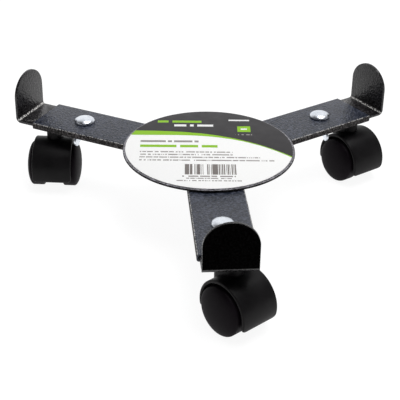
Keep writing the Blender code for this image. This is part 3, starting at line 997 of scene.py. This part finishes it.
def printed_label():
    """The label's print: a dark band over a light ground, a curved stripe, and plain dashes and bars."""
    tints = colours()
    made, tree, shader, place = started("label_print", 0.40, specular=0.10)
    straight = node(tree, "ShaderNodeSeparateXYZ", {0: place})
    across = maths(tree, "MULTIPLY", straight.outputs["X"], STEPS_PER_METRE)
    up = maths(tree, "MULTIPLY", straight.outputs["Y"], MM_PER_METRE)
    in_band = maths(tree, "GREATER_THAN", up, curve_height(tree, across, STRIPE_TOP))
    above_card = maths(tree, "GREATER_THAN", up, curve_height(tree, across, STRIPE_FOOT))
    tone = mixed(tree, above_card, tints.card, tints.stripe)
    tone = mixed(tree, in_band, tone, tints.band)
    inputs = {"Vector": place, "Scale": (MM_PER_METRE,) * 3, "Rotation": (0, 0, PRINT_TILT)}
    tilted = node(tree, "ShaderNodeMapping", inputs).outputs[0]
    print_axes = node(tree, "ShaderNodeSeparateXYZ", {0: tilted})
    x = print_axes.outputs["X"]
    y = print_axes.outputs["Y"]
    for low, high, cell, share, ink in PRINTED_DASHES:
        tone = mixed(tree, dashes(tree, x, y, low, high, cell, share), tone, getattr(tints, ink))
    for low, high, ink in PRINTED_BLOCKS:
        tone = mixed(tree, inside_box(tree, x, y, low, high), tone, getattr(tints, ink))
    mottle = ranged(tree, noise(tree, place, 900.0, detail=3.0), 0.3, 0.7, 0.965, 1.0)
    shade = node(tree, "ShaderNodeCombineXYZ", {0: mottle, 1: mottle, 2: mottle}).outputs[0]
    inputs = {0: 1.0, 6: tone, 7: shade}
    tone = node(tree, "ShaderNodeMix", inputs, data_type="RGBA", blend_type="MULTIPLY").outputs[2]
    tree.links.new(tone, shader.inputs["Base Color"])
    film = noise(tree, place, 160.0, detail=4.0)
    tree.links.new(ranged(tree, film, 0.3, 0.7, 0.30, 0.42), shader.inputs["Roughness"])
    bumped(tree, shader, film, 0.10, 0.00010)
    return made


# Stage

# In metres, degrees and, for the lens and its sensor, millimetres
CAMERA_PLACE = (-0.05518, -0.57513, 0.29769)
CAMERA_TURN = (60.048, -0.817, -4.541)
CAMERA_LENS = 100.6
CAMERA_SENSOR = 36
FLOOR_SIZE = 6.0
FLOOR_GLOW = 0.92

# Area lights that point at the origin: name, place, size in metres and power in watts
LIGHTS = (
    ("overhead", (0.25, -0.05, 1.1), (0.9, 0.7), 10.8),
    ("left_side", (-1.0, -0.1, 0.35), (0.5, 0.5), 0.3),
    ("right_side", (1.0, -0.1, 0.35), (0.5, 0.5), 0.3),
)

# Brightness of the surroundings in front of the caddy and behind it
WORLD_FRONT = (0.07, 0.07, 0.074)
WORLD_BACK = (1.0, 1.0, 1.01)


def floor_finish():
    """A pale, glowing floor with a hint of cloud."""
    tints = colours()
    made, tree, shader, place = started("floor_finish", 0.75, specular=0.1)
    cloud = noise(tree, place, 3.0)
    light = [value * 1.03 for value in tints.floor]
    tree.links.new(mixed(tree, cloud, tints.floor, light), shader.inputs["Base Color"])
    shader.inputs["Emission Color"].default_value = (1, 1, 1, 1)
    shader.inputs["Emission Strength"].default_value = FLOOR_GLOW
    return made


def add_floor():
    """A flat floor at the foot of the wheels."""
    height = min(extent(f"caster_wheel_{side}_a", Matrix())[0].z for side in SIDES)
    bm = bmesh.new()
    bmesh.ops.create_grid(bm, x_segments=8, y_segments=8, size=FLOOR_SIZE / 2)
    bmesh.ops.translate(bm, verts=bm.verts, vec=(0, 0, height))
    mesh = mesh_from("floor", bm)
    mesh.materials.append(floor_finish())
    floor = added("floor", mesh)


def add_light(name, place, size, power):
    """A rectangular light that points at the origin."""
    light = bpy.data.lights.new(name, "AREA")
    light.shape = "RECTANGLE"
    light.size, light.size_y = size
    light.energy = power
    made = added(name, light)
    made.location = place
    made.rotation_euler = (-Vector(place)).to_track_quat("-Z", "Y").to_euler()


def add_world():
    """Soft studio surroundings: bright behind the caddy, dim in front of it."""
    world = bpy.data.worlds.new("studio")
    world.use_nodes = True
    tree = world.node_tree
    background = tree.nodes["Background"]
    way = tree.nodes.new("ShaderNodeTexCoord").outputs["Generated"]
    back = node(tree, "ShaderNodeSeparateXYZ", {0: way}).outputs["Y"]
    tone = mixed(tree, ranged(tree, back, 0.15, 0.70), WORLD_FRONT, WORLD_BACK)
    tree.links.new(tone, background.inputs["Color"])
    background.inputs["Strength"].default_value = 1.0
    bpy.context.scene.world = world


def add_camera():
    """The camera that looks at the caddy from the front."""
    camera = bpy.data.cameras.new("camera")
    camera.lens = CAMERA_LENS
    camera.sensor_width = CAMERA_SENSOR
    camera.clip_start = 0.01
    camera.clip_end = 20
    made = added("camera", camera)
    made.location = CAMERA_PLACE
    made.rotation_euler = [math.radians(angle) for angle in CAMERA_TURN]
    bpy.context.scene.camera = made


# Operators


class CADDY_OT_stage(bpy.types.Operator):
    """Set up the floor, the lights and the camera"""

    bl_idname = "caddy.stage"
    bl_label = "Stage"

    def execute(self, context):
        context.scene.view_settings.view_transform = "Standard"
        add_floor()
        add_world()
        for light in LIGHTS:
            add_light(*light)
        add_camera()
        return {"FINISHED"}


class CADDY_OT_plate(bpy.types.Operator):
    """Make the round plate and its label"""

    bl_idname = "caddy.plate"
    bl_label = "Plate and label"

    def execute(self, context):
        tints = colours()
        enamel = hammered_paint("plate_enamel", tints.plate_paint, tints.plate_fleck, 0.36, 0.5)
        # Painted shade: the plate's upright edge is black
        edge = hammered_paint("plate_edge_shade", tints.painted_shade_black, tints.leg_fleck, 0.5, 0.1)
        ink = printed_label()
        placed("plate", plate_shape(), Matrix(), [enamel, edge], "frame", "plate_paint", "pot_plate")
        placed("label", label_shape(), Matrix(), [ink], "frame", "label_print", "plate_label")
        return {"FINISHED"}


class CADDY_OT_channels(bpy.types.Operator):
    """Make the three channels"""

    bl_idname = "caddy.channels"
    bl_label = "Channels"

    def execute(self, context):
        tints = colours()
        enamel = hammered_paint("channel_enamel", tints.paint, tints.fleck, 0.36, 0.46)
        # Painted shade on the channels' sides: darker paint with little gloss
        dull = hammered_paint(
            "channel_side_shade", tints.side_painted_shade, tints.side_shade_fleck, 0.5, 0.12, glint_amount=0.35
        )
        for side in SIDES:
            channel = channel_shape(side)
            place = arm_place(side)
            cad = f"arm_channel_{side}"
            placed(f"channel_{side}", channel, place, [enamel, dull], "frame", "channel_paint", cad)
        return {"FINISHED"}


class CADDY_OT_legs(bpy.types.Operator):
    """Make the three sliding legs with their lugs"""

    bl_idname = "caddy.legs"
    bl_label = "Legs"

    def execute(self, context):
        tints = colours()
        enamel = hammered_paint(
            "leg_enamel", tints.leg_paint, tints.leg_fleck, 0.20, 0.38, depth=0.00018
        )
        # Painted shade: the lugs' outer faces are black and without gloss
        plain = hammered_paint("lug_shade_black", tints.painted_shade_black, tints.leg_paint, 0.5, 0.0)
        for side in SIDES:
            leg = leg_shape(side)
            body = f"leg_{side}"
            cad = f"sliding_leg_{side}"
            placed(f"leg_{side}_bent", leg, arm_place(side), [enamel, plain], body, "leg_paint", cad)
        return {"FINISHED"}


class CADDY_OT_clamps(bpy.types.Operator):
    """Make the bolts, washers and wing nuts that clamp the legs"""

    bl_idname = "caddy.clamps"
    bl_label = "Clamps"

    def execute(self, context):
        tints = colours()
        bolt_plating = plated("bolt_plating", tints.zinc, tints.zinc_tarnish, 0.27)
        washer_plating = plated("washer_plating", tints.zinc, tints.zinc_tarnish, 0.30, lines=1.0)
        nut_plating = plated("nut_plating", tints.zinc, tints.zinc_tarnish, 0.34)
        for side in SIDES:
            place = clamp_place(side)
            bolt = bolt_shape(side)
            cad = f"carriage_bolt_{side}"
            placed(f"bolt_{side}", bolt, place, [bolt_plating], "frame", "bolt_zinc", cad)
            washer = washer_shape(side)
            cad = f"clamp_washer_{side}"
            placed(f"washer_{side}", washer, place, [washer_plating], "frame", "washer_zinc", cad)
            nut = nut_shape(side)
            cad = f"wing_nut_{side}"
            placed(f"winged_{side}", nut, nut_place(side), [nut_plating], "frame", "nut_zinc", cad)
        return {"FINISHED"}


class CADDY_OT_stems(bpy.types.Operator):
    """Make the casters' stems and their spring rings"""

    bl_idname = "caddy.stems"
    bl_label = "Stems"

    def execute(self, context):
        tints = colours()
        steel = plated("stem_turned", tints.steel, tints.zinc_tarnish, 0.30, lines=1.0)
        spring = plated("ring_spring", tints.zinc_tarnish, tints.steel, 0.34)
        for side in SIDES:
            place = caster_place(side)
            body = f"leg_{side}"
            stem = stem_shape(side)
            cad = f"caster_stem_{side}"
            placed(f"stem_{side}", stem, place, [steel], body, "stem_steel", cad)
            ring = ring_shape(side)
            cad = f"stem_ring_{side}"
            placed(f"ring_{side}", ring, place, [spring], body, "ring_steel", cad)
        return {"FINISHED"}


class CADDY_OT_hoods(bpy.types.Operator):
    """Make the casters' hooded bodies"""

    bl_idname = "caddy.hoods"
    bl_label = "Hoods"

    def execute(self, context):
        plastic = moulded_plastic("hood_black", colours().hood, 0.40, 0.11)
        for side in SIDES:
            hood = hood_shape(side)
            body = f"caster_{side}"
            cad = f"caster_hood_{side}"
            placed(f"hood_{side}", hood, caster_place(side), [plastic], body, "hood_plastic", cad)
        return {"FINISHED"}


class CADDY_OT_wheels(bpy.types.Operator):
    """Make the axles and the six wheels"""

    bl_idname = "caddy.wheels"
    bl_label = "Wheels and axles"

    def execute(self, context):
        tints = colours()
        steel = plated("axle_drawn", tints.steel, tints.zinc_tarnish, 0.25)
        plastic = moulded_plastic("wheel_black", tints.wheel, 0.52, 0.05)
        for side in SIDES:
            axle = axle_shape(side)
            body = f"caster_{side}"
            cad = f"wheel_axle_{side}"
            placed(f"axle_{side}", axle, hub_place(side, 1), [steel], body, "axle_steel", cad)
            for mark, way in WHEELS.items():
                wheel = wheel_shape(side, mark)
                place = hub_place(side, way)
                body = f"wheel_{side}_{mark}"
                cad = f"caster_wheel_{side}_{mark}"
                placed(f"{body}_domed", wheel, place, [plastic], body, "wheel_plastic", cad)
        return {"FINISHED"}


class CADDY_PT_pieces(bpy.types.Panel):
    """Lists the caddy's pieces, sizes and colours"""

    bl_idname = "CADDY_PT_pieces"
    bl_label = "Plant pot caddy"
    bl_space_type = "VIEW_3D"
    bl_region_type = "UI"
    bl_category = "Caddy"

    def draw(self, context):
        for operator in OPERATORS:
            self.layout.operator(operator.bl_idname)
        for group in (measures(), colours()):
            box = self.layout.box()
            for name in group.__annotations__:
                box.prop(group, name)


OPERATORS = (
    CADDY_OT_stage,
    CADDY_OT_plate,
    CADDY_OT_channels,
    CADDY_OT_legs,
    CADDY_OT_clamps,
    CADDY_OT_stems,
    CADDY_OT_hoods,
    CADDY_OT_wheels,
)
CLASSES = (CaddyShape, CaddyColours, *OPERATORS, CADDY_PT_pieces)


def register():
    for made in CLASSES:
        bpy.utils.register_class(made)
    bpy.types.Scene.caddy_shape = PointerProperty(type=CaddyShape)
    bpy.types.Scene.caddy_colours = PointerProperty(type=CaddyColours)


def unregister():
    del bpy.types.Scene.caddy_colours
    del bpy.types.Scene.caddy_shape
    for made in reversed(CLASSES):
        bpy.utils.unregister_class(made)


def main():
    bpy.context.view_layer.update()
    register()
    bpy.ops.caddy.stage()
    bpy.ops.caddy.plate()
    bpy.ops.caddy.channels()
    bpy.ops.caddy.legs()
    bpy.ops.caddy.clamps()
    bpy.ops.caddy.stems()
    bpy.ops.caddy.hoods()
    bpy.ops.caddy.wheels()


if __name__ == "__main__":
    main()
